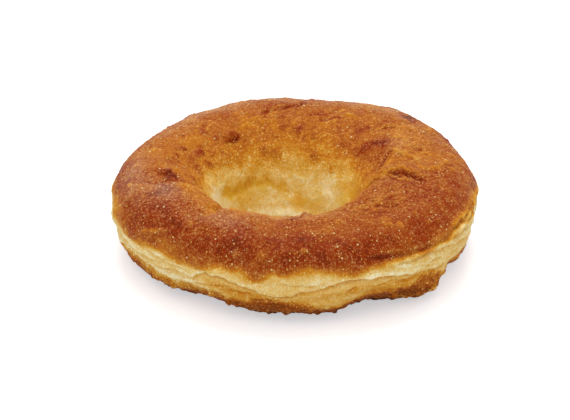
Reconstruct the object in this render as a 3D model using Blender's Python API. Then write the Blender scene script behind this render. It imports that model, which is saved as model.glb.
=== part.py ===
"""A ring of fried dough, modelled as one solid.

The ring is a torus whose vertices are moved onto an uneven, bread-like section: a
broad domed crown, a funnel that runs down into the hole, a girth about half way up
and a flattened foot. Slow lobes around the ring and local swellings make it as
uneven as dough that has risen and fried freely.

Units are metres, +Z is up, and the origin is the centre of the foot.
Angles are in degrees. The ring angle is 0 at +X and 90 at +Y (the back). The section
angle is 0 at the girth, 90 at the crown, 180 in the hole and 270 under the foot.
"""

from math import radians

import bpy
import numpy as np

# driving dimensions
OUTER_RADIUS = 0.0548        # centre of the ring to its girth
CROWN_RADIUS = 0.0390        # centre of the ring to the highest line of the crust
THROAT_RADIUS = 0.0194       # narrowest radius of the hole
FOOT_RADIUS = 0.0350         # middle of the flattened foot
RING_HEIGHT = 0.0272         # foot to crown
GIRTH_HEIGHT = 0.0155        # height of the widest line
THROAT_HEIGHT = 0.0050       # height of the hole's narrowest line
FOOT_FLATTENING = 0.0012     # dough pressed flat under the foot
FOOT_BLEND = 0.0030          # height over which the local swellings fade in above the foot
HOLE_SHIFT_X = -0.0044       # the hole is nearer the left side
HOLE_SHIFT_Y = -0.0008       # and slightly nearer the front
CROWN_FOLLOWS_HOLE = 0.4     # how much of that shift the crown takes

# exponents of the four quarters of the section: 2 is an ellipse, more is squarer
UPPER_OUTER_FULLNESS = 2.35
UPPER_INNER_FULLNESS = 1.85
LOWER_INNER_FULLNESS = 5.0
LOWER_OUTER_FULLNESS = 2.4

# mesh resolution
RING_SEGMENTS = 96
SECTION_SEGMENTS = 36

# Slow lobes of the outline: ring angle, half width, distance outwards
OUTLINE_LOBES = (
    (150, 22, -0.0010),
    (95, 25, 0.0008),
    (54, 22, 0.0019),
    (18, 12, -0.0014),
    (345, 22, -0.0008),
    (200, 18, 0.0006),
)

# Bands that run all the way round: section angle, half width, distance outwards
SIDE_BANDS = (
    (8, 9, 0.0005),          # lip of the upper crust
    (342, 10, -0.0009),      # pinched pale belt below it
    (318, 12, 0.0005),       # swollen lower crust
)

# Local swellings: ring angle, section angle, half width round the ring, half width
# round the section, distance outwards, distance upwards
SWELLINGS = (
    (238, 305, 14, 35, -0.0022, 0.0009),     # tucked-in base, front left
    (233, 308, 8, 25, -0.0009, 0.0003),      # the same, nearer the left
    (272, 300, 14, 25, -0.0008, 0.0005),     # base, front
    (268, 306, 7, 14, -0.0003, 0.0003),      # dent of the base, front
    (293, 305, 8, 32, -0.0034, 0.0015),      # hollow beside the bulge
    (302, 301, 6, 28, -0.0017, 0.0008),      # the hollow's right end
    (317, 308, 7, 26, 0.0024, -0.0005),      # bulge of the base, front right
    (330, 312, 7, 28, -0.0022, 0.0008),      # hollow after the bulge
    (196, 337, 7, 15, 0.0007, 0.0),          # swollen belt, left
    (351, 5, 10, 22, -0.0017, 0.0),          # flattened side, right
    (176, 20, 12, 22, 0.0004, 0.0),          # fuller side, left
    (48, 75, 22, 35, 0.0004, 0.0009),        # high crown, back right
    (56, 58, 10, 30, 0.0, 0.0006),           # fuller shoulder, back right
    (108, 55, 20, 30, 0.0, 0.0008),          # fuller shoulder, back left
    (202, 105, 16, 30, 0.0003, 0.0013),      # high crown, left front
    (172, 110, 9, 22, 0.0, -0.0016),         # dip of the crown, left
    (335, 105, 16, 30, 0.0008, 0.0007),      # high crown, right front
    (352, 125, 16, 22, 0.0, 0.0016),         # raised shoulder of the funnel, right
    (12, 105, 9, 22, 0.0, -0.0016),          # dip of the crown, right
    (240, 118, 10, 22, 0.0003, 0.0006),      # small bump of the rim, front left
    (205, 140, 12, 22, 0.0005, 0.0022),      # raised shoulder of the funnel, left
    (318, 128, 18, 25, 0.0, 0.0012),         # raised shoulder of the funnel, front right
    (322, 118, 18, 18, 0.0, 0.0016),         # raised rim of the hole, front right
    (192, 100, 5, 24, 0.0, -0.0017),         # saddle behind the left lobe
    (233, 118, 5, 16, 0.0, -0.0016),         # notch of the rim, front left
    (96, 197, 40, 20, -0.0046, 0.0003),      # ledge at the bottom of the hole's back wall
)

CRUST_COLOUR = (0.36, 0.11, 0.030, 1.0)
CRUST_ROUGHNESS = 0.5


def clear_scene():
    """Remove whatever the open file holds."""
    for old in list(bpy.data.objects):
        bpy.data.objects.remove(old, do_unlink=True)


def angle_between(a, b):
    """Signed difference of two angles, from -180 to 180 degrees."""
    return (a - b + 180.0) % 360.0 - 180.0


def hump(angle, centre, half_width):
    """Smooth hump: 1 at the centre, fading to nothing over about two half widths."""
    return np.exp(-(angle_between(angle, centre) / half_width) ** 2)


def quarter_curve(turn, fullness):
    """Cosine and sine of a superellipse's quarter; turn runs from 0 to 1."""
    quarter = turn * np.pi / 2
    across = np.clip(np.cos(quarter), 0.0, 1.0) ** (2 / fullness)
    along = np.clip(np.sin(quarter), 0.0, 1.0) ** (2 / fullness)
    return across, along


def dough_section(section, outer, crown, throat):
    """Radius and height on the plain section, joined from four superellipse quarters."""
    quarter = np.floor(section / 90.0).astype(int) % 4
    turn = section / 90.0 - np.floor(section / 90.0)

    across, along = quarter_curve(turn, UPPER_OUTER_FULLNESS)
    girth_to_crown = (crown + (outer - crown) * across,
                      GIRTH_HEIGHT + (RING_HEIGHT - GIRTH_HEIGHT) * along)

    across, along = quarter_curve(1.0 - turn, UPPER_INNER_FULLNESS)
    crown_to_throat = (crown - (crown - throat) * across,
                       THROAT_HEIGHT + (RING_HEIGHT - THROAT_HEIGHT) * along)

    across, along = quarter_curve(turn, LOWER_INNER_FULLNESS)
    throat_to_foot = (FOOT_RADIUS - (FOOT_RADIUS - throat) * across,
                      THROAT_HEIGHT - (THROAT_HEIGHT + FOOT_FLATTENING) * along)

    across, along = quarter_curve(1.0 - turn, LOWER_OUTER_FULLNESS)
    foot_to_girth = (FOOT_RADIUS + (outer - FOOT_RADIUS) * across,
                     GIRTH_HEIGHT - (GIRTH_HEIGHT + FOOT_FLATTENING) * along)

    quarters = (girth_to_crown, crown_to_throat, throat_to_foot, foot_to_girth)
    radius = np.choose(quarter, [q[0] for q in quarters])
    height = np.choose(quarter, [q[1] for q in quarters])
    return radius, height


def dough_surface(ring, section):
    """Points of the dough for arrays of ring and section angles, foot flat at z = 0."""
    across = np.cos(np.radians(ring))
    along = np.sin(np.radians(ring))

    outer = np.full_like(ring, OUTER_RADIUS)
    for centre, half_width, outwards in OUTLINE_LOBES:
        outer += outwards * hump(ring, centre, half_width)

    hole_shift = HOLE_SHIFT_X * across + HOLE_SHIFT_Y * along
    crown = CROWN_RADIUS + CROWN_FOLLOWS_HOLE * hole_shift
    throat = THROAT_RADIUS + hole_shift
    radius, height = dough_section(section, outer, crown, throat)

    for centre, half_width, outwards in SIDE_BANDS:
        radius += outwards * hump(section, centre, half_width)

    above_foot = np.clip(height / FOOT_BLEND, 0.0, 1.0)
    for ring_at, section_at, ring_width, section_width, outwards, upwards in SWELLINGS:
        weight = hump(ring, ring_at, ring_width) * hump(section, section_at, section_width)
        radius += outwards * weight
        height += upwards * weight * above_foot

    height = np.maximum(height, 0.0)
    return np.column_stack((radius * across, radius * along, height))


def make_material(name, colour, roughness):
    """A plain non-metallic surface."""
    material = bpy.data.materials.new(name)
    material.use_nodes = True
    surface = material.node_tree.nodes["Principled BSDF"]
    surface.inputs["Base Color"].default_value = colour
    surface.inputs["Roughness"].default_value = roughness
    surface.inputs["Metallic"].default_value = 0.0
    return material


def make_dough_ring(collection):
    """The dough: a torus whose vertices are carried onto the dough's surface."""
    tube_radius = (OUTER_RADIUS - THROAT_RADIUS) / 2
    path_radius = (OUTER_RADIUS + THROAT_RADIUS) / 2
    bpy.ops.mesh.primitive_torus_add(
        major_segments=RING_SEGMENTS,
        minor_segments=SECTION_SEGMENTS,
        major_radius=path_radius,
        minor_radius=tube_radius,
    )
    dough = bpy.context.object
    dough.name = "dough_ring"
    dough.data.name = "dough_ring"

    points = np.empty(len(dough.data.vertices) * 3, dtype=np.float32)
    dough.data.vertices.foreach_get("co", points)
    points = points.reshape(-1, 3).astype(float)
    ring = np.degrees(np.arctan2(points[:, 1], points[:, 0])) % 360.0
    from_path = np.hypot(points[:, 0], points[:, 1]) - path_radius
    section = np.degrees(np.arctan2(points[:, 2], from_path)) % 360.0

    surface = dough_surface(ring, section)
    middle = (surface.min(axis=0) + surface.max(axis=0)) / 2
    surface[:, :2] -= middle[:2]
    dough.data.vertices.foreach_set("co", surface.astype(np.float32).ravel())
    dough.data.update()

    dough.data.shade_smooth()
    dough.data.set_sharp_from_angle(angle=radians(60))
    dough.data.materials.append(make_material("fried_crust", CRUST_COLOUR, CRUST_ROUGHNESS))

    for owner in list(dough.users_collection):
        owner.objects.unlink(dough)
    collection.objects.link(dough)
    return dough


def main():
    clear_scene()
    collection = bpy.data.collections.new("fried_dough_ring")
    bpy.context.scene.collection.children.link(collection)
    make_dough_ring(collection)


main()
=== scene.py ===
import math

import bpy
import numpy as np
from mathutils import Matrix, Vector


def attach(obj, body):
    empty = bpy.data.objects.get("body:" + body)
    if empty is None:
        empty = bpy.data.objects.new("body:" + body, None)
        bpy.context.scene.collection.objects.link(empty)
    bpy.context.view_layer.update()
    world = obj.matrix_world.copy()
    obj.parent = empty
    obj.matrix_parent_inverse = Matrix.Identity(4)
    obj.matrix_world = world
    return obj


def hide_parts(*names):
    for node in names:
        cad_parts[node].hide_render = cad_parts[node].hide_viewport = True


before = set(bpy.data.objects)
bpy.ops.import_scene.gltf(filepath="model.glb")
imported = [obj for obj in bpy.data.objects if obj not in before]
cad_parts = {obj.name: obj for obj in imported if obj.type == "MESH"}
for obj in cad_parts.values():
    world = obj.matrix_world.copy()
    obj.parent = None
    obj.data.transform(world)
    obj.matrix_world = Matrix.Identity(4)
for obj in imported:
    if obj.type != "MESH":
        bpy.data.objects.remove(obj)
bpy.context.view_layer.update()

# A ring of fried dough: browned, blistered crust over a pale folded belt, and a hole with a pale wall.
# Metres, +Z up. Places on the ring are two angles in degrees: the ring angle (0 right, 90 back, 180 left,
# 270 front) and the section angle (0 girth, 90 crown, 180 hole, 270 foot).

mm = 0.001
bpy.context.scene.view_settings.view_transform = "Standard"
bpy.context.scene.view_settings.look = "None"


dough = {
    "ringSteps": 480,
    "sectionSteps": 206,
    # weight of steps between two section angles: longer ones under the foot, shorter ones on the belt
    "stepWeights": [(215, 285, 0.4), (325, 382, 1.5)],
    # how far wrinkles are drawn out, and the turn of that way on the crust, between two section angles
    "pull": 5.0,
    "pullSlant": 14.0,
    "pullOnCrust": (26, 200),
    # the plain ring in mm, the same as the solid that the looks stand for
    "outer": 54.8,
    "crown": 39.0,
    "throat": 19.4,
    "foot": 35.0,
    "height": 27.2,
    "girthHeight": 15.5,
    "throatHeight": 5.0,
    "footFlattening": 1.2,
    "footBlend": 3.0,
    "holeShift": (-4.4, -0.8),
    "crownFollowsHole": 0.4,
    "fullness": (2.35, 1.85, 5.0, 2.4),
    # ring angle, half width, outwards
    "outlineLobes": [(150, 22, -1), (95, 25, 0.8), (54, 22, 1.9), (18, 12, -1.4), (345, 22, -0.8),
        (200, 18, 0.6)],
    # section angle, half width, outwards
    "sideBands": [(8, 9, 0.5), (342, 10, -0.9), (318, 12, 0.5)],
    # ring angle, section angle, their half widths, outwards, upwards
    "swellings": [
        (238, 305, 14, 35, -2.2, 0.9), (233, 308, 8, 25, -0.9, 0.3), (272, 300, 14, 25, -0.8, 0.5),
        (268, 306, 7, 14, -0.3, 0.3), (293, 305, 8, 32, -3.4, 1.5), (302, 301, 6, 28, -1.7, 0.8),
        (317, 308, 7, 26, 2.4, -0.5), (330, 312, 7, 28, -2.2, 0.8), (196, 337, 7, 15, 0.7, 0),
        (351, 5, 10, 22, -1.7, 0), (176, 20, 12, 22, 0.4, 0), (48, 75, 22, 35, 0.4, 0.9),
        (56, 58, 10, 30, 0, 0.6), (108, 55, 20, 30, 0, 0.8), (202, 105, 16, 30, 0.3, 1.3),
        (172, 110, 9, 22, 0, -1.6), (335, 105, 16, 30, 0.8, 0.7), (352, 125, 16, 22, 0, 1.6),
        (12, 105, 9, 22, 0, -1.6), (240, 118, 10, 22, 0.3, 0.6), (205, 140, 12, 22, 0.5, 2.2),
        (318, 128, 18, 25, 0, 1.2), (322, 118, 18, 18, 0, 1.6), (192, 100, 5, 24, 0, -1.7),
        (233, 118, 5, 16, 0, -1.6), (96, 197, 40, 20, -4.6, 0.3),
    ],
}


def angleBetween(a, b):
    # signed difference of two angles, -180 to 180
    return (a - b + 180.0) % 360.0 - 180.0


def hump(angle, centre, halfWidth):
    # 1 at the centre, fading as exp(-(distance / half width) squared)
    return np.exp(-(angleBetween(angle, centre) / halfWidth) ** 2)


def quarterCurve(turn, fullness):
    # superellipse quarter: cosine and sine of the turn (0 to 1), each to the power 2 / fullness
    return [np.clip(wave(turn * np.pi / 2), 0, 1) ** (2 / fullness) for wave in (np.cos, np.sin)]


def plainRing(ring, section):
    # torus with an uneven section: four superellipse quarters join girth, crown, throat and foot,
    # the lobes and swellings add humps in ring and section angle, and the foot is cut flat at z = 0
    across, along = np.cos(np.radians(ring)), np.sin(np.radians(ring))
    outer = dough["outer"] + sum(size * hump(ring, at, width) for at, width, size in dough["outlineLobes"])
    holeShift = dough["holeShift"][0] * across + dough["holeShift"][1] * along
    crown = dough["crown"] + dough["crownFollowsHole"] * holeShift
    throat = dough["throat"] + holeShift
    foot, top, girth, neck = dough["foot"], dough["height"], dough["girthHeight"], dough["throatHeight"]
    dip = -dough["footFlattening"]
    # each quarter's inner and outer radius, and its heights at the outer and the inner one
    quarters = [(crown, outer, girth, top), (crown, throat, neck, top),
                (foot, throat, neck, dip), (foot, outer, girth, dip)]
    quarter, turn = np.divmod(section / 90.0, 1)
    quarter = quarter.astype(int) % 4
    radii, heights = [], []
    for number, (middle, edge, edgeHeight, middleHeight) in enumerate(quarters):
        c, s = quarterCurve(1 - turn if number % 2 else turn, dough["fullness"][number])
        radii.append(middle + (edge - middle) * c)
        heights.append(edgeHeight + (middleHeight - edgeHeight) * s)
    radius, height = np.choose(quarter, radii), np.choose(quarter, heights)
    for at, width, size in dough["sideBands"]:
        radius = radius + size * hump(section, at, width)
    free = np.clip(height / dough["footBlend"], 0, 1)
    for ringAt, sectionAt, ringWidth, sectionWidth, outwards, upwards in dough["swellings"]:
        weight = hump(ring, ringAt, ringWidth) * hump(section, sectionAt, sectionWidth)
        radius = radius + outwards * weight
        height = height + upwards * weight * free
    return mm * np.stack([radius * across, radius * along, np.maximum(height, 0)], axis=-1)


def sectionStops(count):
    # section angles for steps along the front's section, each as long as its weight lets it be
    angles = np.linspace(0, 360, 1441)
    line = plainRing(np.full_like(angles, 270.0), angles)
    step = np.linalg.norm(np.diff(line, axis=0), axis=1)
    middle = (angles[1:] + angles[:-1]) / 2
    for start, end, weight in dough["stepWeights"]:
        step = np.where((middle - start) % 360 < end - start, weight * step, step)
    travelled = np.concatenate([[0], np.cumsum(step)])
    return np.interp(np.arange(count) * travelled[-1] / count, travelled, angles)


ringAngles = np.arange(dough["ringSteps"]) * 360.0 / dough["ringSteps"]
ring, section = np.meshgrid(ringAngles, sectionStops(dough["sectionSteps"]), indexing="ij")
surface = plainRing(ring, section)
flat = surface.reshape(-1, 3)
centring = np.append(((flat.min(axis=0) + flat.max(axis=0)) / 2)[:2], 0.0)
surface = surface - centring
print("dough: plain ring", surface.shape)


def pulledPlace(points):
    # pattern coordinates, divided by the pull along the way the dough was stretched: round the ring on belt
    # and base (where the third is the distance along the section), left to right with a slant on the crust
    step = np.linalg.norm(points - np.roll(points, 1, axis=1), axis=-1)
    start = int(np.argmin(np.abs(section[0] - 270)))
    travelled = np.roll(np.cumsum(np.roll(step, -start, axis=1), axis=1), start, axis=1)
    turn, slant, pull = np.radians(ring), math.radians(dough["pullSlant"]), dough["pull"]
    shrunk = dough["crown"] * mm / pull
    low = np.stack([shrunk * np.cos(turn), shrunk * np.sin(turn), travelled], axis=-1)
    along = points[..., 0] * math.cos(slant) + points[..., 1] * math.sin(slant)
    across = points[..., 1] * math.cos(slant) - points[..., 0] * math.sin(slant)
    high = np.stack([along / pull, across, points[..., 2]], axis=-1)
    start, end = dough["pullOnCrust"]
    return np.where(((section > start) & (section < end))[..., None], high, low)


pulled = pulledPlace(surface)


def placeOn(ringAt, sectionAt):
    # point of the plain ring at a ring and a section angle
    return plainRing(np.array([float(ringAt)]), np.array([float(sectionAt) % 360.0]))[0] - centring


def unit(vectors):
    return vectors / np.maximum(np.linalg.norm(vectors, axis=-1, keepdims=True), 1e-12)


def outwardNormals(points):
    # cross product of the steps to the neighbours round the ring and round the section
    roundRing = np.roll(points, -1, axis=0) - np.roll(points, 1, axis=0)
    roundSection = np.roll(points, -1, axis=1) - np.roll(points, 1, axis=1)
    return unit(np.cross(roundRing, roundSection))


def softNoise(points, wavelength, seed):
    # gradient noise, about -1 to 1: each lattice corner has a random slope, and the eight slopes round
    # a point are blended with 6t^5 - 15t^4 + 10t^3
    random = np.random.default_rng(seed)
    slopes = unit(random.normal(size=(256, 3)))
    shuffled = random.permutation(256)
    scaled = points / wavelength
    cell = np.floor(scaled).astype(int)
    part = scaled - cell
    ease = part ** 3 * (part * (part * 6 - 15) + 10)
    total = np.zeros(points.shape[:-1])
    for corner in np.ndindex(2, 2, 2):
        index = np.zeros(points.shape[:-1], dtype=int)
        for axis in range(3):
            index = shuffled[(index + cell[..., axis] + corner[axis]) & 255]
        weight = np.prod(np.where(np.array(corner) == 1, ease, 1 - ease), axis=-1)
        total += weight * np.sum(slopes[index] * (part - corner), axis=-1)
    return total * 1.7


def line(*path, **form):
    # a fold: points (ring angle, section angle), then its form
    return {"path": path, **form}


# folds, creases and ridges, sizes in mm. With rising ring angle the lip is on the crown's side. groove: depth
# and half width; lip: height and reach of the raised edge beside it, which leans by overhang; ridge: height
# (negative for a dent) and half width; tint, lipTint: change of level in percent, darker in grooves and
# dents, partly browning and partly painted shade, and lighter on lips, partly a painted highlight; the oil
# share: mix toward the oil colour, painted shade; fade: how soon full size is reached; wander: how far the
# line strays
folds = {
    "frontLip": line((236, 0), (242, 1), (247, 0.5), (250, 359), (254, 356), (257, 353.5), (260, 350.5),
        (263, 349), (267, 349), (271, 352), (275, 354.5), groove=(1.4, 0.8), lip=(0.9, 0.9), overhang=0.6,
        tint=8, lipTint=-8),
    "frontCrease": line((272, 352), (276, 355), (280, 358), (286, 360.5), (290, 360), (294, 359), (300, 358),
        (306, 355), (312, 354), groove=(1, 0.7), lip=(0.6, 0.7), overhang=0.4, tint=10, lipTint=-12),
    # painted shade: darker strips below the front lip and the front crease
    "underFrontLip": line((240, 353), (246, 351), (252, 347), (258, 343), (264, 341), ridge=(-0.2, 1.3),
        tint=20),
    "underFrontCrease": line((284, 353), (290, 352), (297, 352), (304, 350), ridge=(-0.1, 1), tint=10),
    "rightLip": line((297, 9), (303, 8), (308, 9), (312, 9), (315, 8), (320, 6), (324, 5), (328, 6), (332, 7),
        (336, 8), (341, 9), (347, 8), (354, 5), (2, 2), groove=(1.1, 0.7), lip=(0.8, 1), overhang=0.5,
        tint=10, lipTint=-14),
    "rightLowerCrease": line((300, 350), (306, 349), (312, 350), (318, 348), (324, 346), groove=(0.6, 0.6),
        lip=(0.4, 0.7), tint=12, lipTint=-10),
    "rightEndLip": line((328, 358), (334, 357), (341, 358), (349, 356), (357, 357), groove=(0.7, 0.7),
        lip=(0.5, 0.8), tint=10, lipTint=-10),
    "leftBeltFold": line((207, 351), (214, 352), (220, 350), (226, 351), (231, 353), groove=(0.6, 0.6),
        lip=(0.45, 0.6), tint=10, lipTint=-12),
    "leftBeltFold2": line((231, 349), (236, 351), (239, 357), (243, 359.5), (248, 360), groove=(0.6, 0.5),
        lip=(0.4, 0.5), tint=12, lipTint=-12),
    "leftBeltFold3": line((230, 343), (235, 344), (240, 348), (244, 350), (248, 351), groove=(0.5, 0.5),
        lip=(0.4, 0.5), tint=12, lipTint=-10),
    "backRightFold": line((14, 356), (26, 353), (38, 355), (52, 352), (66, 355), (76, 358), groove=(0.9, 0.8),
        lip=(0.6, 0.8), tint=10, lipTint=-10),
    "backFold": line((72, 350), (84, 353), (98, 356), (112, 354), (124, 350), (132, 348), groove=(0.8, 0.7),
        lip=(0.5, 0.7), tint=10, lipTint=-10),
    "backLeftFold": line((126, 358), (138, 355), (150, 354), (163, 357), (176, 355), (188, 352), (198, 354),
        groove=(0.9, 0.8), lip=(0.6, 0.7), tint=10, lipTint=-10),
    "slit": line((284.5, 351), (286, 352.5), (287.5, 355), groove=(0.6, 0.45), tint=25),
    "leftLobeEdge": line((201, 136), (202, 122), (202.5, 108), (202, 96), (200, 85), (197, 73), (192, 60),
        groove=(1.9, 2.6), lip=(0.7, 2), tint=10, lipTint=-9),
    # painted shade: a shallow dent whose tint darkens an arc on the left lobe
    "leftLobeArc": line((206, 58), (207, 70), (208, 84), (211, 96), (216, 106), ridge=(-0.35, 1.2), tint=10),
    "rimNotch": line((236, 125), (235, 112), (234.5, 98), (235, 87), (234, 78), (234.5, 66), (234, 56),
        groove=(0.9, 1), lip=(0.5, 1.6), tint=5),
    "rimDent": line((230, 134), (231, 122), (231.5, 110), (232, 99), (232.5, 88), (233, 78),
        groove=(1.6, 1.9), tint=-8),
    "rightRimRise": line((286, 106), (296, 113), (306, 119), (317, 122), (330, 124), (342, 126), (354, 131),
        ridge=(1, 3), tint=0),
    "rightCrease": line((348, 121), (346.5, 116), (345.5, 110), (344, 103), (342, 96), (341, 90), (341, 84),
        groove=(1.3, 1.1), lip=(0.7, 1.4), tint=30, lipTint=-12),
    "rightBand": line((343, 92), (348, 86), (351, 77), (355, 64), ridge=(-0.4, 1.1), tint=10),
    "rightRidge": line((24, 109), (20, 106), (14, 101), (7, 96), (1, 95), (355, 95), ridge=(0.7, 0.5),
        tint=-26),
    "rightRidgeBand": line((355, 95), (352, 92), (352, 86), (355, 79), (0, 72), (6, 65), ridge=(0.5, 0.9),
        tint=-16),
    "slopeLineA": line((22, 106), (20, 113), (17, 117), (10, 126), (3, 133), groove=(0.6, 0.5),
        lip=(0.5, 0.5), tint=22, lipTint=-18),
    "slopeLineB": line((18, 111), (13, 118), (6, 125), (1, 132), (358, 138), groove=(0.5, 0.4),
        lip=(0.4, 0.5), tint=18, lipTint=-14),
    "slopeLineC": line((5, 126), (359, 131), (354, 137), (350, 143), groove=(0.5, 0.45), lip=(0.3, 0.5),
        tint=18, lipTint=-8),
    "slopeLineD": line((20, 94), (16, 90), (13, 86), groove=(0.5, 0.45), tint=22),
    "slopeLineE": line((356, 143), (347, 133), (340, 124), (334, 117), groove=(0.5, 0.5), lip=(0.3, 0.5),
        tint=16),
    "slopeBand": line((43, 124), (40, 121), (38, 116), (35, 113), (31, 109), (26, 106), ridge=(0.4, 1.7),
        tint=19),
    "slopeSpot": line((55, 114), (52, 110), (50, 106), (48, 102), ridge=(0.3, 1.3), tint=18),
    "backWrinkleA": line((96, 91), (93, 88), (90, 85), (88, 80), (86, 76), groove=(0.6, 0.5), lip=(0.3, 0.6),
        tint=22),
    "backWrinkleB": line((108, 96), (105, 95.5), (101, 94), (97, 91.5), (93, 88), groove=(0.5, 0.5),
        lip=(0.3, 0.6), tint=18, lipTint=-4),
    "backWrinkleC": line((67, 92), (62, 96), (57, 99), ridge=(0.4, 0.5), tint=-18),
    "backStreak": line((79, 108), (75, 107), (70, 103), (66, 101), ridge=(-0.3, 0.7), tint=20),
    "backNotch": line((49, 60), (45, 65), (41, 68), (37, 67), groove=(0.8, 0.8), tint=22),
    "rimPeak": line((276, 100), (275, 107), (274, 114), (273, 120), ridge=(1.1, 0.9), tint=10),
    "rimPeakCrease": line((266, 93), (269, 98), (271, 105), (272, 112), groove=(0.8, 0.6), lip=(0.4, 0.7),
        tint=30),
    "leftFrontRidge": line((214, 17), (218, 24), (221, 31), (226, 38), ridge=(0.35, 0.6), tint=-20),
    "bulgeCreaseA": line((306, 331), (310, 328), (314, 327), (318, 328), (322, 326), groove=(0.8, 0.6),
        lip=(0.3, 0.6), tint=25),
    "bulgeCreaseB": line((300, 322), (305, 320), (311, 319), (317, 320), groove=(0.6, 0.6), lip=(0.3, 0.6),
        tint=20),
    "crustFold": line((290, 27), (294, 25), (298, 22), (303, 20), (308, 19), (312, 19), (317, 17), (322, 17),
        (329, 18), groove=(0.7, 0.6), lip=(0.4, 0.9), tint=18),
    # painted shade: shallow dents whose tint and oil share darken the hole's wall to an olive shade
    "holeShade": line((166, 159), (154, 162), (144, 163), (134, 162), (126, 162), (118, 163), (110, 165),
        (102, 168), (95, 171), ridge=(-0.7, 1.8), tint=36, oil=0.75, fade=2.4, wander=1.4),
    "holeShade2": line((104, 171), (94, 175), (84, 178), (74, 181), ridge=(-0.3, 2.2), tint=18, oil=0.4,
        fade=1.1),
    # darker edge below the big blister: browning and painted shade
    "blisterFoot": line((134, 121.5), (132, 124), (129, 124.5), (126, 123), ridge=(-0.5, 0.6), tint=26),
    "holeArcA": line((77, 157), (80, 162), (80, 168), (79, 172), (74, 174), (68, 172), (61, 169), (55, 165),
        ridge=(0.5, 0.45), tint=-14),
    "holeArcB": line((54, 164), (50, 168), (48, 172), (51, 177), (56, 182), ridge=(0.5, 0.5), tint=-14),
    "holeArcC": line((93, 158), (88, 160), (83, 161), ridge=(0.4, 0.5), tint=-14),
}

# what folds share, in mm; the second of a pair is for the small creases below
foldForm = {
    "points": (90, 24),
    "reach": (6, 3),
    "wander": 0.35,
    "wanderWave": 2.5,
    "fade": 2.2,
    "pastEnds": 0.6,
    "grooveShift": 0.4,  # in half widths, away from the lip
}

# small creases that repeat: start, run round the ring, climb round the section and bend of the middle, all in
# degrees and drawn at random
creases = {
    "belt": dict(count=110, seed=3, ring=(0, 360), section=(336, 362), run=(4, 14), climb=(-3, 3),
        bend=(-2, 2), groove=(0.3, 0.35), lip=(0.28, 0.5), tint=7, lipTint=-10),
    "rightRim": dict(count=22, seed=4, ring=(344, 360), section=(112, 146), run=(-18, -9), climb=(-22, -14),
        bend=(-3, 3), groove=(0.28, 0.35), lip=(0.25, 0.5), tint=10, lipTint=-8),
    "frontRightRim": dict(count=18, seed=8, ring=(288, 318), section=(88, 112), run=(9, 20), climb=(-12, -3),
        bend=(-3, 3), groove=(0.25, 0.35), lip=(0.22, 0.5), tint=9, lipTint=-7),
    "backCrown": dict(count=22, seed=5, ring=(55, 120), section=(78, 108), run=(4, 10), climb=(-3, 7),
        bend=(-2, 2), groove=(0.25, 0.4), lip=(0.22, 0.6), tint=8, lipTint=-8),
    "backRight": dict(count=20, seed=6, ring=(10, 50), section=(60, 105), run=(-8, -2), climb=(-14, -6),
        bend=(-3, 3), groove=(0.25, 0.4), lip=(0.22, 0.6), tint=8, lipTint=-8),
    "holeWall": dict(count=20, seed=7, ring=(20, 165), section=(150, 185), run=(2, 9), climb=(-9, 9),
        bend=(-3, 3), ridge=(0.22, 0.4), tint=-7),
    "rightEdge": dict(count=26, seed=10, ring=(318, 350), section=(8, 24), run=(5, 13), climb=(-3, 3),
        bend=(-2, 2), groove=(0.3, 0.35), lip=(0.3, 0.5), tint=12, lipTint=-10),
    "beltEnds": dict(count=10, seed=9, ring=(296, 303), section=(3, 14), run=(2, 5), climb=(-7, -3),
        bend=(-1, 1), ridge=(0.3, 0.3), tint=-12),
}

# big blisters: ring angle, section angle, radius, height, browning in percent; a negative height is a pit
bigBlisters = [
    (132.5, 118, 2.1, 1.1, 14), (128.5, 118.5, 2, 1.1, 16), (142, 104, 1.6, 0.5, 16), (138, 96, 1, 0.4, 16),
    (152, 94, 0.9, 0.3, 18), (139, 115, 1, 0.4, 18), (161, 106, 1.2, 0.4, 24), (163, 101, 1, 0.3, 14),
    (167, 104, 0.9, 0.3, 20), (158, 119, 1.8, 0.4, 20), (155, 122, 1.2, 0.3, 20), (158, 131, 1.4, 0.3, 16),
    (184, 126, 1.4, 0.3, 18), (156, 134, 1.2, 0.3, 14), (158, 142, 0.8, 0.2, 10), (171, 107, 1, 0.3, 12),
    (190, 97, 2, 1.9, 20), (193, 102, 1.7, 1.4, 28), (196, 97, 1.3, 0.8, 24), (191, 106, 1.2, -0.4, 30),
    (99, 117, 1.2, 0.5, 18), (89, 119, 1.7, 0.4, 22), (86, 126, 0.8, 0.2, 14), (114, 136, 1.6, 0.4, 16),
    (105, 140, 2, 0.3, 12), (78, 102, 1.6, 0.4, 10), (42, 64, 2, 0.6, 16), (58, 148, 1.2, 0.3, 14),
    (76, 141, 1.8, 0.3, 10), (194, 52, 1.1, 0.6, -30), (206, 58, 0.8, 0.4, -20), (182, 64, 1.3, 0.4, -16),
    (356, 63, 1.5, 0.6, -26), (349, 69, 0.9, 0.3, 16), (336, 104, 1.2, 0.5, -24), (326, 72, 0.9, 0.4, -10),
    (316, 64, 1, 0.4, -20), (303, 68, 2.2, 0.4, -14), (307, 55, 1.6, 0.3, -10), (286, 83, 1, 0.4, -14),
    (272, 42, 1, 0.6, -26), (259, 33, 1.9, 0.3, -12), (251, 31, 1.1, 0.4, -18), (232, 58, 1.1, 0.4, -16),
    (220, 26, 1.4, 0.4, -12), (144, 98, 0.8, 0.3, -14), (64, 95, 1.2, 0.4, -16), (257, 21, 1.6, 0.2, -8),
    (225, 334, 1.2, 0.5, 18), (284, 352, 0.8, 0.2, 14),
]

# blisters that repeat: ranges of ring and section angle, radius, height and browning, drawn at random
blisterFields = {
    "base": dict(count=300, seed=12, ring=(0, 360), section=(290, 330), radius=(0.4, 1.3), height=(0.15, 0.6),
        tint=(-18, 28)),
    "bulge": dict(count=26, seed=13, ring=(302, 326), section=(318, 340), radius=(0.7, 1.4),
        height=(0.3, 0.8), tint=(-22, 30)),
    "crust": dict(count=150, seed=14, ring=(0, 360), section=(20, 118), radius=(0.5, 1.2),
        height=(0.12, 0.35), tint=(-16, 8)),
}
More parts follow.
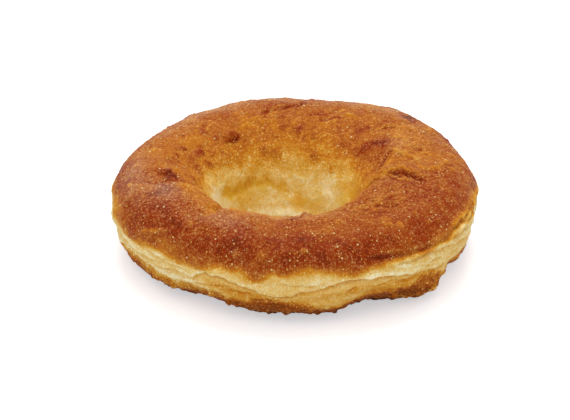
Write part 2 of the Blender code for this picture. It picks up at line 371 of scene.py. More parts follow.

# how brown the dough is, 0 pale crumb to 1 darkest crust; the same level also carries painted light and shade
# from the patches and the folds
browning = {
    # lower edge of the crust and upper edge of the base: ring angle, section angle
    "crustEdge": [(0, 10), (20, 12), (45, 8), (75, 12), (100, 8), (130, 14), (160, 8), (185, 14), (196, 9),
        (204, 361), (212, 360), (220, 366), (231, 363), (240, 362), (246, 367), (255, 364), (259, 359.5),
        (263, 371), (270, 371), (279, 372), (288, 363), (294, 373), (300, 372), (306, 372), (315, 372),
        (327, 372), (336, 374), (345, 368), (352, 368)],
    "baseEdge": [(0, 336), (30, 330), (60, 338), (90, 332), (120, 336), (150, 330), (180, 338), (209, 342),
        (221, 342), (229, 335), (241, 340), (250, 337), (264, 342), (270, 343), (276, 332), (284, 329),
        (293, 335), (300, 337), (308, 342), (315, 346), (322, 343), (332, 334), (345, 336)],
    # wavelength in mm and size in degrees of the edges' waves, and the base's factor on them
    "edgeWaves": [(7.0, 5.0), (2.6, 2.5)],
    "baseWaves": 1.3,
    # section angle above the crust's edge, level; in the hole and under the foot by section angle alone
    "crust": [(-14, 0.14), (-4, 0.2), (-1, 0.34), (2, 0.54), (6, 0.72), (12, 0.84), (30, 0.88), (55, 0.84),
        (75, 0.78), (95, 0.7), (112, 0.6), (126, 0.52), (134, 0.44), (140, 0.36), (146, 0.26), (151, 0.16),
        (158, 0.1), (168, 0.12), (176, 0.15), (186, 0.1), (200, 0.08), (215, 0.28), (228, 0.6), (250, 0.78)],
    "base": [(-3, 0), (2, 0.45), (10, 0.66), (30, 0.8)],
    "least": 0.16,
    # section angle from which the base's levels hold
    "footEnd": 285,
    # ring angle, section angle, half widths, change of level in percent; these lighter and darker fields are
    # partly browning and partly painted light and shade, such as painted light on the hole's left wall and
    # bottom strip
    "patches": [
        (268, 42, 40, 26, 3), (248, 20, 14, 16, -4), (284, 26, 10, 9, 6), (295, 17, 6, 7, 12),
        (300, 58, 12, 10, -7), (292, 72, 12, 9, -6), (243, 46, 10, 10, 5), (221, 60, 9, 10, 5),
        (271, 60, 7, 8, 4), (266, 26, 9, 7, 4), (226, 22, 10, 12, -12), (341, 19, 12, 9, -14),
        (78, 62, 75, 30, -14), (5, 62, 30, 30, -10), (168, 65, 25, 30, -10), (170, 90, 22, 22, -5),
        (240, 106, 14, 11, -4), (262, 112, 14, 12, -6), (214, 120, 9, 16, 8), (20, 86, 30, 22, -6),
        (30, 92, 12, 14, -6), (345, 125, 22, 16, 7), (32, 114, 12, 9, 12), (0, 92, 12, 12, -5),
        (172, 148, 12, 17, -18), (167, 161, 7, 9, -22), (108, 189, 22, 7, -30), (30, 153, 18, 12, 10),
        (118, 152, 14, 6, -5), (213, 102, 9, 9, -12), (196, 112, 7, 12, 6), (66, 162, 16, 8, -6),
        (196, 18, 8, 8, -12), (30, 102, 9, 9, -10), (125, 112, 12, 12, -8), (151, 104, 9, 10, -8),
        (270, 102, 9, 8, -7), (75, 132, 8, 8, -8), (122, 72, 14, 10, -7), (60, 70, 9, 10, -7),
        (0, 43, 10, 9, -8), (198, 66, 9, 9, -4), (200, 344, 14, 8, -6), (238, 12, 7, 6, -5),
        (88, 178, 10, 8, 10), (142, 172, 12, 7, 4), (50, 127, 14, 9, 10), (36, 147, 14, 8, -6),
        (222, 42, 12, 22, 3), (285, 310, 40, 30, 10), (228, 333, 12, 12, -26), (300, 334, 10, 12, 34),
        (317, 329, 9, 9, -14), (286, 318, 14, 12, 20), (264, 332, 14, 12, 18), (255, 310, 20, 10, 8),
        (244, 333, 11, 13, 24), (216, 340, 10, 7, -14), (302, 342, 8, 6, 16), (288, 326, 8, 8, 8),
        (322, 18, 9, 9, -14), (285, 346, 12, 5, 8), (310, 350, 14, 6, 7), (338, 350, 10, 7, 7),
        (238, 350, 9, 6, -6), (248, 351, 38, 9, 6), (134, 174, 14, 8, 10), (50, 168, 10, 9, -7),
        (130, 68, 12, 14, -9), (68, 78, 12, 18, -5), (198, 50, 12, 14, -5), (196, 22, 7, 12, -20),
        (105, 90, 7, 12, 5), (166, 132, 7, 7, 15), (181, 133, 6, 7, 10), (30, 132, 7, 7, 12),
        (345, 58, 9, 10, 5), (292, 43, 14, 8, 4), (276, 102, 12, 8, -6), (154, 172, 9, 8, -20),
        (172, 172, 8, 10, -5), (318, 328, 12, 9, -6), (209, 84, 9, 14, 6), (262, 343, 50, 7, 5),
        (312, 312, 12, 12, -14), (245, 334, 8, 8, -14), (281, 322, 10, 10, -10), (213, 352, 12, 7, 8),
        (202, 50, 5, 12, -6), (256, 4, 8, 6, 6), (286, 5, 8, 6, 6), (95, 66, 60, 18, 2),
        (110, 162, 70, 16, -6), (30, 151, 12, 10, -10), (0, 68, 8, 11, 8), (345, 57, 9, 8, 5),
        (346, 112, 9, 12, 11), (348, 92, 7, 6, 5), (330, 117, 8, 8, 6), (45, 92, 10, 14, 5),
        (15, 132, 18, 6, 5), (350, 97, 7, 7, 6), (75, 132, 8, 6, -6), (105, 132, 8, 6, 4),
        (165, 117, 8, 7, 5), (195, 80, 7, 10, -5), (202, 52, 11, 10, 6), (225, 43, 8, 7, -6),
        (195, 43, 7, 7, 3), (225, 72, 7, 8, -5), (270, 87, 8, 7, 4), (330, 18, 8, 6, -8),
        (225, 18, 8, 6, -10), (210, 18, 7, 6, 3), (330, 32, 8, 6, 4), (240, 6, 8, 6, -8), (270, 6, 8, 6, 5),
        (300, 6, 8, 6, 4), (240, 328, 8, 7, -5), (268, 328, 6, 7, -9), (262, 341, 10, 6, -7),
        (300, 341, 8, 6, -5), (225, 341, 8, 6, -5), (285, 341, 7, 6, -6), (165, 165, 12, 16, -9),
        (214, 68, 6, 8, 5), (0, 101, 9, 8, 6), (269, 17, 12, 6, -5), (268, 333, 8, 8, 6),
        (240, 100, 8, 8, -2), (0, 72, 8, 8, 4), (45, 72, 9, 8, 3), (120, 72, 9, 8, 3), (255, 72, 8, 8, 3),
        (82, 87, 10, 8, -4), (141, 87, 11, 8, -4), (330, 87, 8, 8, 4), (180, 102, 8, 8, 4),
        (300, 102, 8, 8, 4), (275, 102, 10, 8, -3), (328, 117, 18, 7, 4), (2, 145, 12, 16, 11),
        (105, 150, 12, 8, 3), (30, 132, 8, 6, 5), (60, 132, 8, 7, 4), (105, 136, 8, 14, 5),
        (165, 130, 8, 7, 5), (75, 150, 8, 8, -5), (148, 150, 12, 8, -10), (42, 172, 16, 12, -8),
    ],
    "oilOnBase": 0.08,
    # section angle, half width, strength of the mix toward the oil colour on the hole's wall: its yellow
    # tone, and painted light that brightens the shaded hole
    "oilInHole": (168, 19, 0.46),
    # wavelength in mm, change of level
    "noise": [(16, 0.03), (7, 0.06), (3.6, 0.05), (1.7, 0.035)],
}

# places with their own skin: ring angle, section angle, half widths, strength
skin = {
    # finely wrinkled along the pull
    "wrinkled": [(335, 105, 16, 26, 1), (300, 112, 16, 16, 0.6), (262, 105, 14, 14, 0.4),
        (10, 80, 22, 25, 0.5), (200, 100, 14, 26, 0.5), (85, 80, 30, 18, 0.8), (320, 355, 24, 10, 0.7),
        (225, 352, 18, 8, 0.7), (275, 352, 20, 9, 0.6), (40, 90, 20, 25, 0.4)],
    # painted sheen: here the crust's colour is mixed toward a pale colour, in place of a reflection of the
    # sky
    "frosted": [(208, 84, 10, 16, 0.8), (130, 66, 30, 17, 0.9), (65, 64, 40, 18, 0.9), (268, 103, 22, 9, 0.8),
        (25, 100, 12, 14, 0.5), (190, 58, 20, 22, 0.8), (240, 80, 14, 16, 0.6), (330, 100, 20, 20, 0.1)],
    # with a stronger grain
    "grainy": [(213, 65, 22, 28, 0.35), (335, 85, 30, 30, 0.15), (95, 150, 80, 28, 0.45)],
}

# uneven rise: wavelength and height in mm of layers of noise; that of the belt's folds is drawn out
roughness = {
    "crust": [(14, 0.32), (7, 0.34), (3.6, 0.2), (1.9, 0.11)],
    "crumb": [(10, 0.35), (5, 0.25), (2.6, 0.16), (1.4, 0.08)],
    "base": [(9, 0.4), (4.5, 0.5), (2.2, 0.4), (1.4, 0.2)],
    "beltFolds": [(4, 0.35), (1.9, 0.22)],
    # the base's skin lies this deep, as its blisters raise it again
    "baseSunk": 0.25,
}


def ramp(value, start, end):
    # 0 up to the start, 1 from the end, straight between them
    return np.clip((value - start) / (end - start), 0, 1)


def humps(spots):
    # sum of size x hump in ring angle x hump in section angle
    return sum(size * hump(ring, ringAt, ringWidth) * hump(section, sectionAt, sectionWidth)
               for ringAt, sectionAt, ringWidth, sectionWidth, size in spots)


def layered(points, layers, seed):
    # sum of size x noise for layers of wavelength and size
    return sum(size * softNoise(points, wavelength * mm, seed + number)
               for number, (wavelength, size) in enumerate(layers))


def smoothPath(points, count):
    # Catmull-Rom curve through (ring, section) points, as points of the plain ring; angles are unwound first
    angles = np.unwrap(np.array(points, dtype=float), axis=0, period=360)
    padded = np.vstack([2 * angles[0] - angles[1], angles, 2 * angles[-1] - angles[-2]])
    at = np.linspace(0, len(angles) - 1, count)
    knot = np.minimum(at.astype(int), len(angles) - 2)
    t = (at - knot)[:, None]
    p0, p1, p2, p3 = [padded[knot + shift] for shift in range(4)]
    curve = 0.5 * (2 * p1 + (p2 - p0) * t + (2 * p0 - 5 * p1 + 4 * p2 - p3) * t ** 2
                   + (3 * p1 - p0 - 3 * p2 + p3) * t ** 3)
    return plainRing(curve[:, 0] % 360, curve[:, 1] % 360) - centring


def foldRelief(fold):
    # d is the signed distance in mm to the nearest point of the path, along normal x tangent.
    # groove: -depth exp(-(d / width + shift)^2); lip: height (d / reach) exp(1 - d / reach) for d > 0, which
    # leans over the groove by its overhang; ridge: height exp(-(d / width)^2); all fade at the path's ends
    small = "count" in fold
    path = smoothPath(fold["path"], foldForm["points"][small])
    reach = foldForm["reach"][small] * mm
    inside = (surface > path.min(axis=0) - reach) & (surface < path.max(axis=0) + reach)
    near = np.where(np.all(inside, axis=-1))
    spots, up = surface[near], normals[near]
    offsets = spots[:, None, :] - path[None]
    nearest = np.argmin(np.sum(offsets ** 2, axis=-1), axis=1)
    tangent = unit(np.gradient(path, axis=0))
    offset = offsets[np.arange(len(spots)), nearest] / mm
    side = np.cross(up, tangent[nearest])
    wander = fold.get("wander", foldForm["wander"]) * softNoise(spots, foldForm["wanderWave"] * mm, 11)
    away = np.sum(offset * side, axis=1) + wander
    beyond = np.sum(offset * tangent[nearest], axis=1)
    along = nearest / (len(path) - 1)
    ends = np.clip(np.sin(np.pi * along) * fold.get("fade", foldForm["fade"]), 0, 1)
    fade = ends * np.exp(-(beyond / foldForm["pastEnds"]) ** 2)
    relief, lean, tint, oil = np.zeros((4, len(spots)))
    if "groove" in fold:
        depth, width = fold["groove"]
        cut = np.exp(-(away / width + foldForm["grooveShift"]) ** 2)
        relief -= depth * cut
        tint += fold["tint"] * cut
    if "lip" in fold:
        height, reachOut = fold["lip"]
        out = np.clip(away / reachOut, 0, None)
        raised = out * np.exp(1 - out)
        relief += height * raised
        lean -= fold.get("overhang", 0) * raised
        tint += fold.get("lipTint", 0) * raised
    if "ridge" in fold:
        height, width = fold["ridge"]
        raised = np.exp(-(away / width) ** 2)
        relief += height * raised
        tint += fold["tint"] * raised
        # the oil share of the shade folds paints shade
        oil += fold.get("oil", 0) * raised * (0.8 + 0.7 * softNoise(spots, 4 * mm, 12))
    return near, (up * relief[:, None] + side * lean[:, None]) * fade[:, None], tint / 100 * fade, oil * fade


def lineRound(points):
    # closed line of section angles, -180 to 180, straight between (ring, section) points and then blurred
    rings, sections = np.transpose(points)
    sections = angleBetween(sections, 0)
    return sum(share * np.interp(ring + shift, rings, sections, period=360)
               for shift, share in ((-2, 0.25), (0, 0.5), (2, 0.25)))


normals = outwardNormals(surface)
relief, tint, oily = np.zeros((3, *surface.shape[:2]))
folded = np.zeros(surface.shape)


def creasePaths(family):
    # a family's folds: each path starts at random, runs and climbs evenly, and is bent as 4 t (1 - t)
    random = np.random.default_rng(family["seed"])
    for number in range(family["count"]):
        ringAt, sectionAt, run, climb, bend = [random.uniform(*family[key])
                                               for key in ("ring", "section", "run", "climb", "bend")]
        path = [(ringAt + run * t, sectionAt + climb * t + 4 * bend * t * (1 - t))
                for t in (0, 0.33, 0.67, 1)]
        yield line(*path, **family)


allFolds = list(folds.values()) + [fold for family in creases.values() for fold in creasePaths(family)]
for fold in allFolds:
    near, move, colour, oil = foldRelief(fold)
    folded[near] += move
    tint[near] += colour
    oily[near] += oil
print("dough:", len(allFolds), "folds")


def raiseBlister(ringAt, sectionAt, radius, height, colour):
    # dome: height (1 - d^2)^0.75 for the distance d in radii, whose outline noise makes uneven
    centre = placeOn(ringAt, sectionAt)
    away = np.linalg.norm(surface - centre, axis=-1) / (radius * mm)
    near = np.where(away < 1.8)
    away = away[near] * (1 + 0.3 * softNoise(surface[near], 2.0 * mm, int(ringAt)))
    relief[near] += height * np.clip(1 - away ** 2, 0, 1) ** 0.75
    tint[near] += colour / 100 * np.clip(1.5 - 1.2 * away, 0, 1)


for blister in bigBlisters:
    raiseBlister(*blister)
for field in blisterFields.values():
    random = np.random.default_rng(field["seed"])
    for number in range(field["count"]):
        drawn = [random.uniform(*field[key]) for key in ("ring", "section", "radius", "height", "tint")]
        raiseBlister(*drawn)
print("dough:", len(bigBlisters) + sum(field["count"] for field in blisterFields.values()), "blisters")

# degrees above the crust's edge and below the base's
waves = layered(surface, browning["edgeWaves"], 21)
overCrust = section - lineRound(browning["crustEdge"]) + waves
belowBase = np.where(section > 180, lineRound(browning["baseEdge"]) + 360 - section, -60)
belowBase = belowBase + browning["baseWaves"] * waves
baseLevel = np.interp(belowBase, *zip(*browning["base"]))
place = np.where(section > 180, section + 2 * waves, overCrust)
level = np.where(section < browning["footEnd"], np.interp(place, *zip(*browning["crust"])), baseLevel)
level = np.maximum(level, browning["least"]) + humps(browning["patches"]) / 100

# the base is wrinkled too, apart from the seam of the pulled coordinates under the foot
wrinkle = np.maximum(np.clip(humps(skin["wrinkled"]), 0, 1), ramp(belowBase, 0, 6) * ramp(section, 210, 220))
wrinkle = wrinkle * ramp(np.abs(angleBetween(section, 270)), 6, 12)
# painted sheen: where the crust's colour is mixed toward pale
frost = humps(skin["frosted"])
coarse = ramp(belowBase, -2, 3) * (section > 250)
oily = np.clip(oily, 0, 1) + browning["oilOnBase"] * coarse
# painted light and yellow tone on the hole's wall, mixed toward the oil colour
sectionAt, width, most = browning["oilInHole"]
oily = np.maximum(oily, most * hump(section, sectionAt, width) * (1 + 0.6 * softNoise(surface, 6 * mm, 13)))
coarse = coarse + humps(skin["grainy"])

crustMask = ramp(level, 0.25, 0.45) * (section < 180)
baseMask = ramp(belowBase, 0, 8) * (section > 180)
crumbMask = np.clip(1 - crustMask - baseMask, 0, 1)
for share, layers, seed in ((crustMask, "crust", 30), (crumbMask, "crumb", 40), (baseMask, "base", 50)):
    relief += share * layered(surface, roughness[layers], seed)
relief -= roughness["baseSunk"] * baseMask * (section > browning["footEnd"])
relief += crumbMask * (section > 200) * layered(pulled, roughness["beltFolds"], 80)
# the browning is most uneven on the hole's wall and the rim, least on the pale belt
for number, (wavelength, change) in enumerate(browning["noise"]):
    share = np.where((section > 120) & (section < 200), 1.5, np.clip(level * 2, 0.2, 1))
    share = share + 0.5 * hump(section, 125, 22)
    level = level + change * share * softNoise(surface, wavelength * mm, 60 + number)

surface = surface + mm * (folded + normals * relief[..., None])
surface[..., 2] = np.maximum(surface[..., 2], 0)
level = np.clip(level + tint, 0, 1)
normals = outwardNormals(surface)
print("dough: relief", round(float(relief.min()), 2), "to", round(float(relief.max()), 2), "mm")


def newObject(name, data):
    made = bpy.data.objects.new(name, data)
    bpy.context.scene.collection.objects.link(made)
    return made


def newMaterial(name):
    material = bpy.data.materials.new(name)
    material.use_nodes = True
    tree = material.node_tree
    return material, tree.nodes, tree.links, tree.nodes["Principled BSDF"]


def adjust(node, **settings):
    # sets a node's inputs or its own settings by name
    for key, value in settings.items():
        if key in node.inputs:
            node.inputs[key].default_value = value
        else:
            setattr(node, key, value)
    return node


def mathNode(nodes, links, operation, *operands, clamp=False):
    # one arithmetic node on sockets or numbers; gives its result's socket
    node = adjust(nodes.new("ShaderNodeMath"), operation=operation, use_clamp=clamp)
    for socket, operand in zip(node.inputs, operands):
        if isinstance(operand, (int, float)):
            socket.default_value = operand
        else:
            links.new(operand, socket)
    return node.outputs[0]


def fromDisplay(red, green, blue):
    # linear colour from display values 0 to 255
    shown = np.array([red, green, blue]) / 255
    return [*np.where(shown > 0.04, ((shown + 0.055) / 1.055) ** 2.4, shown / 12.92), 1.0]


# colours from pale crumb to darkest crust, each at its browning level
doughColours = [
    (0.0, (255, 243, 200)), (0.08, (244, 216, 145)), (0.28, (231, 182, 90)),
    (0.42, (215, 148, 44)), (0.55, (204, 124, 31)), (0.7, (182, 101, 35)),
    (0.84, (159, 67, 12)), (0.93, (149, 49, 3)), (1.0, (122, 42, 4)),
]

# fine surface
fine = {
    # features per metre
    "scale": {"grain": 2000.0, "lump": 640.0, "blotch": 230.0, "pebble": 1150.0, "speck": 820.0,
              "wrinkle": 560.0},
    # shares of lumps, blotches and pebbles beside the grain, and how much weaker the dark side is
    "lumpShare": 0.38,
    "blotchShare": 0.3,
    "pebbleShare": 0.35,
    "darkSide": 0.35,
    # change of level by all of that, its share on the crumb, and the change by specks and wrinkles
    "tint": 0.64,
    "crumbShare": 0.95,
    "speckTint": -0.20,
    "wrinkleTint": 0.10,
    # factor and start of masks: of the crust and its greasy part by level, of the specks' radius by chance
    "crust": (5.0, -1.5),
    "greasy": (3.0, -1.5),
    "speckRadius": (0.9, -0.55),
    "speckEdge": 9.0,
    "wrinkleEdge": -6.0,
    # painted glints, a pale colour mixed in on the high grain, and painted sheen where the painted sheen
    # value is high
    "bloom": 0.30,
    "bloomStart": 0.014,
    "frost": 0.15,
    "bloomColour": (255, 243, 208),
    # oil colour: the base's soaked tone, also painted shade in the hole's dark band, and bright so that the
    # hole's wall shows painted light
    "oilColour": (226, 182, 52),
    # of grain, lumps, pebbles, specks and wrinkles, and the depth of 1 in them
    "heights": (0.5, 1.0, -0.5, 0.5, -0.6),
    "depth": 0.38 * mm,
    # roughness by blotches and its middle, specular level of the body and of the blisters
    "roughness": (-0.5, 0.46),
    "gloss": 0.02,
    "blisterGloss": 0.25,
    "coat": 0.17,
    "shader": {"Coat Roughness": 0.40, "Coat IOR": 1.33, "Sheen Weight": 0.02, "Sheen Roughness": 0.3,
               "Subsurface Weight": 0.12, "Subsurface Radius": (1.0, 0.5, 0.2), "Subsurface Scale": 1.2 * mm},
}

# numbers that the mesh carries at each point, beside the pulled coordinates
pointValues = ("browning", "wrinkle", "coarse", "oily", "frost")


def buildGrain():
    # colour and fine surface on object coordinates. Noises and pebbles change the level, specks (middles of
    # some Voronoi cells) lighten it, and wrinkles (a noise folded at its middle, on the pulled coordinates)
    # darken it. It is looked up in the dough's colours, and the oil colour, which also paints light and shade
    # in the hole, and a pale colour for painted glints and painted sheen are mixed in
    group = bpy.data.node_groups.new("crustGrain", "ShaderNodeTree")
    face = group.interface
    for name in pointValues:
        face.new_socket(name.capitalize(), in_out="INPUT", socket_type="NodeSocketFloat")
    face.new_socket("Pulled", in_out="INPUT", socket_type="NodeSocketVector")
    face.new_socket("Color", in_out="OUTPUT", socket_type="NodeSocketColor")
    for name in ("Height", "Gloss", "Coat"):
        face.new_socket(name, in_out="OUTPUT", socket_type="NodeSocketFloat")
    nodes, links = group.nodes, group.links
    given, outputs = nodes.new("NodeGroupInput").outputs, nodes.new("NodeGroupOutput").inputs
    place = nodes.new("ShaderNodeTexCoord").outputs["Object"]

    def scaled(value, factor, added=0.0, clamp=False):
        # value x factor + added
        return mathNode(nodes, links, "MULTIPLY_ADD", value, factor, added, clamp=clamp)

    def noise(scale, detail, vector=place):
        node = adjust(nodes.new("ShaderNodeTexNoise"), Scale=scale, Detail=detail, Roughness=0.6)
        links.new(vector, node.inputs["Vector"])
        return scaled(node.outputs["Fac"], 1.0, -0.5)

    def mixed(share, colour, base):
        node = adjust(nodes.new("ShaderNodeMixRGB"), Color2=fromDisplay(*fine[colour]))
        links.new(share, node.inputs["Fac"])
        links.new(base, node.inputs["Color1"])
        return node.outputs["Color"]

    grain, lumps, blotches = [noise(fine["scale"][kind], 2.0) for kind in ("grain", "lump", "blotch")]
    pebbles, specks = [adjust(nodes.new("ShaderNodeTexVoronoi"), Scale=fine["scale"][kind])
                       for kind in ("pebble", "speck")]
    adjust(pebbles, feature="SMOOTH_F1", Smoothness=0.5)
    for node in (pebbles, specks):
        links.new(place, node.inputs["Vector"])
    chance = nodes.new("ShaderNodeSeparateColor")
    links.new(specks.outputs["Color"], chance.inputs[0])

    level = given["Browning"]
    crust, greasy = [scaled(level, *fine[key], clamp=True) for key in ("crust", "greasy")]
    inside = scaled(specks.outputs["Distance"], -1.0, scaled(chance.outputs[0], *fine["speckRadius"]))
    speck = scaled(scaled(inside, fine["speckEdge"], clamp=True), crust)
    folded = mathNode(nodes, links, "ABSOLUTE", noise(fine["scale"]["wrinkle"], 1.0, given["Pulled"]))
    wrinkle = scaled(scaled(folded, fine["wrinkleEdge"], 1.0, clamp=True), given["Wrinkle"])
    pebble = pebbles.outputs["Distance"]

    uneven = scaled(lumps, fine["lumpShare"], scaled(blotches, fine["blotchShare"], grain))
    uneven = scaled(scaled(pebble, fine["pebbleShare"], -0.4 * fine["pebbleShare"]), crust, uneven)
    uneven = scaled(mathNode(nodes, links, "ABSOLUTE", uneven), -fine["darkSide"], uneven)
    share = scaled(crust, 1 - fine["crumbShare"], scaled(given["Coarse"], 1.0, fine["crumbShare"]))
    level = scaled(scaled(uneven, share), fine["tint"], level)
    level = scaled(wrinkle, fine["wrinkleTint"], scaled(speck, fine["speckTint"], level), clamp=True)
    lookup = nodes.new("ShaderNodeValToRGB")
    for number, (at, colour) in enumerate(doughColours):
        stop = lookup.color_ramp.elements[number] if number < 2 else lookup.color_ramp.elements.new(at)
        stop.position = at
        stop.color = fromDisplay(*colour)
    links.new(level, lookup.inputs["Fac"])
    # painted glints and painted sheen: a pale colour mixed into the crust where the grain is high and where
    # the painted sheen value is high
    pale = scaled(uneven, -fine["bloom"], scaled(given["Frost"], fine["frost"], -fine["bloomStart"]))
    # the oil colour mixed in: soaked oil, and painted light and shade in the hole
    soaked = mixed(given["Oily"], "oilColour", lookup.outputs["Color"])
    links.new(mixed(scaled(pale, crust, clamp=True), "bloomColour", soaked), outputs["Color"])

    height = 0.0
    for part, size in zip((grain, lumps, scaled(pebble, crust), speck, wrinkle), fine["heights"]):
        height = scaled(part, size, height)
    links.new(height, outputs["Height"])
    links.new(scaled(blotches, *fine["roughness"], clamp=True), outputs["Gloss"])
    links.new(scaled(greasy, fine["coat"]), outputs["Coat"])
    return group


grainGroup = buildGrain()


def doughMaterial(name, gloss):
    # the mesh's attributes feed the grain, which gives colour, height, gloss and coat
    material, nodes, links, shader = newMaterial(name)
    grain = adjust(nodes.new("ShaderNodeGroup"), node_tree=grainGroup)
    for attribute in (*pointValues, "pulled"):
        own = adjust(nodes.new("ShaderNodeAttribute"), attribute_name=attribute).outputs
        links.new(own["Vector" if attribute == "pulled" else "Fac"], grain.inputs[attribute.capitalize()])
    for output, socket in (("Color", "Base Color"), ("Coat", "Coat Weight"), ("Gloss", "Roughness")):
        links.new(grain.outputs[output], shader.inputs[socket])
    bump = adjust(nodes.new("ShaderNodeBump"), Strength=1.0, Distance=fine["depth"])
    links.new(grain.outputs["Height"], bump.inputs["Height"])
    links.new(bump.outputs["Normal"], shader.inputs["Normal"])
    adjust(shader, **fine["shader"], **{"Specular IOR Level": gloss})
    return material


crustMaterial = doughMaterial("doughCrust", fine["gloss"])
blisterMaterial = doughMaterial("blisterSkin", fine["blisterGloss"])


def meshObject(name, points, faces, values, material):
    # mesh from arrays of points and of faces with the same number of corners; values are point attributes
    mesh = bpy.data.meshes.new(name)
    mesh.vertices.add(len(points))
    mesh.vertices.foreach_set("co", points.astype(np.float32).ravel())
    mesh.loops.add(faces.size)
    mesh.loops.foreach_set("vertex_index", faces.astype(np.int32).ravel())
    mesh.polygons.add(len(faces))
    mesh.polygons.foreach_set("loop_start", np.arange(0, faces.size, faces.shape[1], dtype=np.int32))
    mesh.update(calc_edges=True)
    mesh.validate()
    mesh.shade_smooth()
    for key, value in values.items():
        kind, field = ("FLOAT_VECTOR", "vector") if key == "pulled" else ("FLOAT", "value")
        attribute = mesh.attributes.new(key, kind, "POINT")
        attribute.data.foreach_set(field, value.astype(np.float32).ravel())
    mesh.materials.append(material)
    return newObject(name, mesh)


# closed grid of quads, wrapping both ways
index = np.arange(section.size).reshape(section.shape)
ahead = np.roll(index, -1, axis=0)
corners = [index, ahead, np.roll(ahead, -1, axis=1), np.roll(index, -1, axis=1)]
quads = np.stack(corners, axis=-1).reshape(-1, 4)
skinValues = {"browning": level, "wrinkle": wrinkle, "coarse": coarse, "oily": oily, "frost": frost,
              "pulled": pulled}
body = meshObject("doughBody", surface.reshape(-1, 3), quads, skinValues, crustMaterial)
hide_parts("dough_ring")
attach(body, "root")
print("dough: body of", len(body.data.polygons), "faces")


# small blisters are real domes, partly sunk in the crust. They are browned to one level, or to that of the
# dough below less the spread, with some variation
paleBlisters = {
    "name": "paleBlisters", "count": 1800, "seed": 5, "sides": 8,
    "radius": (0.10, 0.33), "flatness": 0.8, "sunk": 0.25, "level": 0.31, "vary": 0.5,
}
crustBeads = {
    "name": "crustBeads", "count": 7600, "seed": 6, "sides": 6,
    "radius": (0.10, 0.30), "flatness": 0.8, "sunk": 0.25, "level": None, "spread": 0.16, "vary": 0.2,
}


def domeShape(sides):
    # dome of two rings and a top over a closing point below: rings at heights 0 and 0.62, radii 1 and 0.76
    low = np.arange(sides)
    turn = low * 2 * np.pi / sides
    circle = np.stack([np.cos(turn), np.sin(turn), np.zeros(sides)], axis=-1)
    points = np.vstack([circle, circle * 0.76 + [0, 0, 0.62], [0, 0, 1.0], [0, 0, -0.6]])
    following = (low + 1) % sides
    top = np.full(sides, 2 * sides)
    faces = [low, following, following + sides, low, following + sides, low + sides,
             low + sides, following + sides, top, following, low, top + 1]
    return points, np.stack(faces, axis=-1).reshape(-1, 3)


def joinDomes(settings, density, material):
    # places are quads of the surface, drawn in proportion to area x density. Every dome is the same shape,
    # scaled, turned onto the normal and joined to the others
    random = np.random.default_rng(settings["seed"])
    count = settings["count"]
    steps = [np.linalg.norm(np.roll(surface, -1, axis=way) - surface, axis=-1) for way in (0, 1)]
    share = (steps[0] * steps[1] * density).ravel()
    chosen = random.choice(share.size, size=count, replace=False, p=share / share.sum())
    lowest, highest = settings["radius"]
    size = (lowest + (highest - lowest) * random.random(count) ** 2.5)[:, None] * mm
    place, up = surface.reshape(-1, 3)[chosen], normals.reshape(-1, 3)[chosen]
    spin = random.random((count, 1)) * 2 * np.pi
    helper = unit(np.cross(up, [0.3, 0.2, 0.9]))
    sideways = helper * np.cos(spin) + np.cross(up, helper) * np.sin(spin)
    stretch = 1 + 0.25 * random.random((count, 1))
    shape, faces = domeShape(settings["sides"])
    shape[:, 2] = shape[:, 2] * settings["flatness"] - settings["sunk"]
    axes = np.stack([sideways * stretch, np.cross(up, sideways) / stretch ** 0.5, up], axis=1) * size[:, None]
    points = shape @ axes + place[:, None]
    faces = faces + np.arange(count)[:, None, None] * len(shape)
    tone = level.ravel()[chosen] - settings["spread"] if settings["level"] is None else settings["level"]
    tone = np.clip(tone + settings["vary"] * (random.random(count) - 0.5), 0, 1)
    values = dict.fromkeys(pointValues, np.zeros(count * len(shape)))
    values["browning"] = np.repeat(tone, len(shape))
    values["pulled"] = np.repeat(pulled.reshape(-1, 3)[chosen], len(shape), axis=0)
    piece = meshObject(settings["name"], points.reshape(-1, 3), faces.reshape(-1, 3), values, material)
    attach(piece, "root")
    print("blisters:", settings["name"], len(piece.data.polygons), "faces")


# all on the crust, most at the front
crustDensity = ramp(level, 0.4, 0.65) * (section < 150)
denser = 0.35 + 0.65 * hump(ring, 262, 80)
joinDomes(paleBlisters, crustDensity * denser, blisterMaterial)
joinDomes(crustBeads, crustDensity * (0.5 + 0.5 * denser), blisterMaterial)


studio = {
    "elevation": 26.5,
    "distance": 0.700,
    "target": (0.0, 0.0, 0.012),
    "focalPixels": 2335.5,
    "frameWidth": 570,
    "frameHeight": 420,
    "targetPixel": (294.8, 206.5),
    "sensor": 36.0,
    "floorSize": 6.0,
    "floorGap": 0.05 * mm,
    "floorShader": {"Base Color": (0.86, 0.86, 0.86, 1.0), "Emission Color": (0.97, 1.0, 1.035, 1.0),
                    "Roughness": 0.9, "Specular IOR Level": 0.1},
    "floorGlow": 0.48,
    "world": {"Color": (1.0, 1.0, 1.0, 1.0), "Strength": 0.68},
    # name, place, aim, width, strength
    "lights": [
        ("overhead", (0.0, 0.7, 1.8), (0, 0, 0), 1.0, 14.5),
        ("front", (-0.2, -1.2, 1.9), (0, 0, 0.01), 1.2, 5.5),
    ],
}


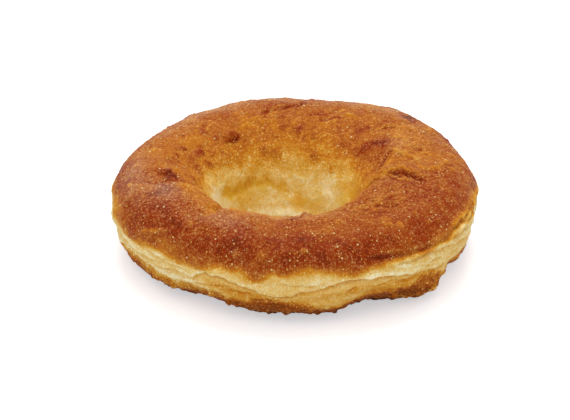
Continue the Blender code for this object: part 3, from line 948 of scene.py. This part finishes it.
def makeFloor():
    half = studio["floorSize"] / 2
    mesh = bpy.data.meshes.new("floor")
    corners = [(-half, -half, 0), (half, -half, 0), (half, half, 0), (-half, half, 0)]
    mesh.from_pydata(corners, [], [(0, 1, 2, 3)])
    floor = newObject("floor", mesh)
    floor.location.z = -studio["floorGap"]
    material, nodes, links, shader = newMaterial("paleFloor")
    adjust(shader, **studio["floorShader"])
    cameraRay = nodes.new("ShaderNodeLightPath").outputs["Is Camera Ray"]
    glow = mathNode(nodes, links, "MULTIPLY", cameraRay, studio["floorGlow"])
    links.new(glow, shader.inputs["Emission Strength"])
    mesh.materials.append(material)


def aimAt(thing, aim):
    thing.rotation_mode = "QUATERNION"
    thing.rotation_quaternion = (Vector(aim) - thing.location).to_track_quat("-Z", "Y")


def makeLight(name, place, aim, width, strength):
    light = bpy.data.lights.new(name, "AREA")
    light.shape = "SQUARE"
    light.size = width
    light.energy = strength
    lamp = newObject(name, light)
    lamp.location = place
    aimAt(lamp, aim)


def makeCamera():
    # long lens, level with the horizon; the aim is off the target by as much as the target lies off centre
    tilt = math.radians(studio["elevation"])
    target = Vector(studio["target"])
    back = Vector((0, -math.cos(tilt), math.sin(tilt)))
    up = Vector((0, math.sin(tilt), math.cos(tilt)))
    camera = bpy.data.cameras.new("camera")
    camera.sensor_width = studio["sensor"]
    camera.lens = studio["focalPixels"] / studio["frameWidth"] * studio["sensor"]
    camera.clip_start = 0.01
    eye = newObject("camera", camera)
    perPixel = studio["distance"] / studio["focalPixels"]
    right = (studio["targetPixel"][0] - studio["frameWidth"] / 2) * perPixel
    down = (studio["targetPixel"][1] - studio["frameHeight"] / 2) * perPixel
    aim = target - Vector((right, 0, 0)) + up * down
    eye.location = target + back * studio["distance"]
    aimAt(eye, aim)
    bpy.context.scene.camera = eye


def makeWorld():
    world = bpy.data.worlds.new("studio")
    world.use_nodes = True
    adjust(world.node_tree.nodes["Background"], **studio["world"])
    bpy.context.scene.world = world


makeFloor()
for settings in studio["lights"]:
    makeLight(*settings)
makeCamera()
makeWorld()
print("studio: floor, lights, camera")
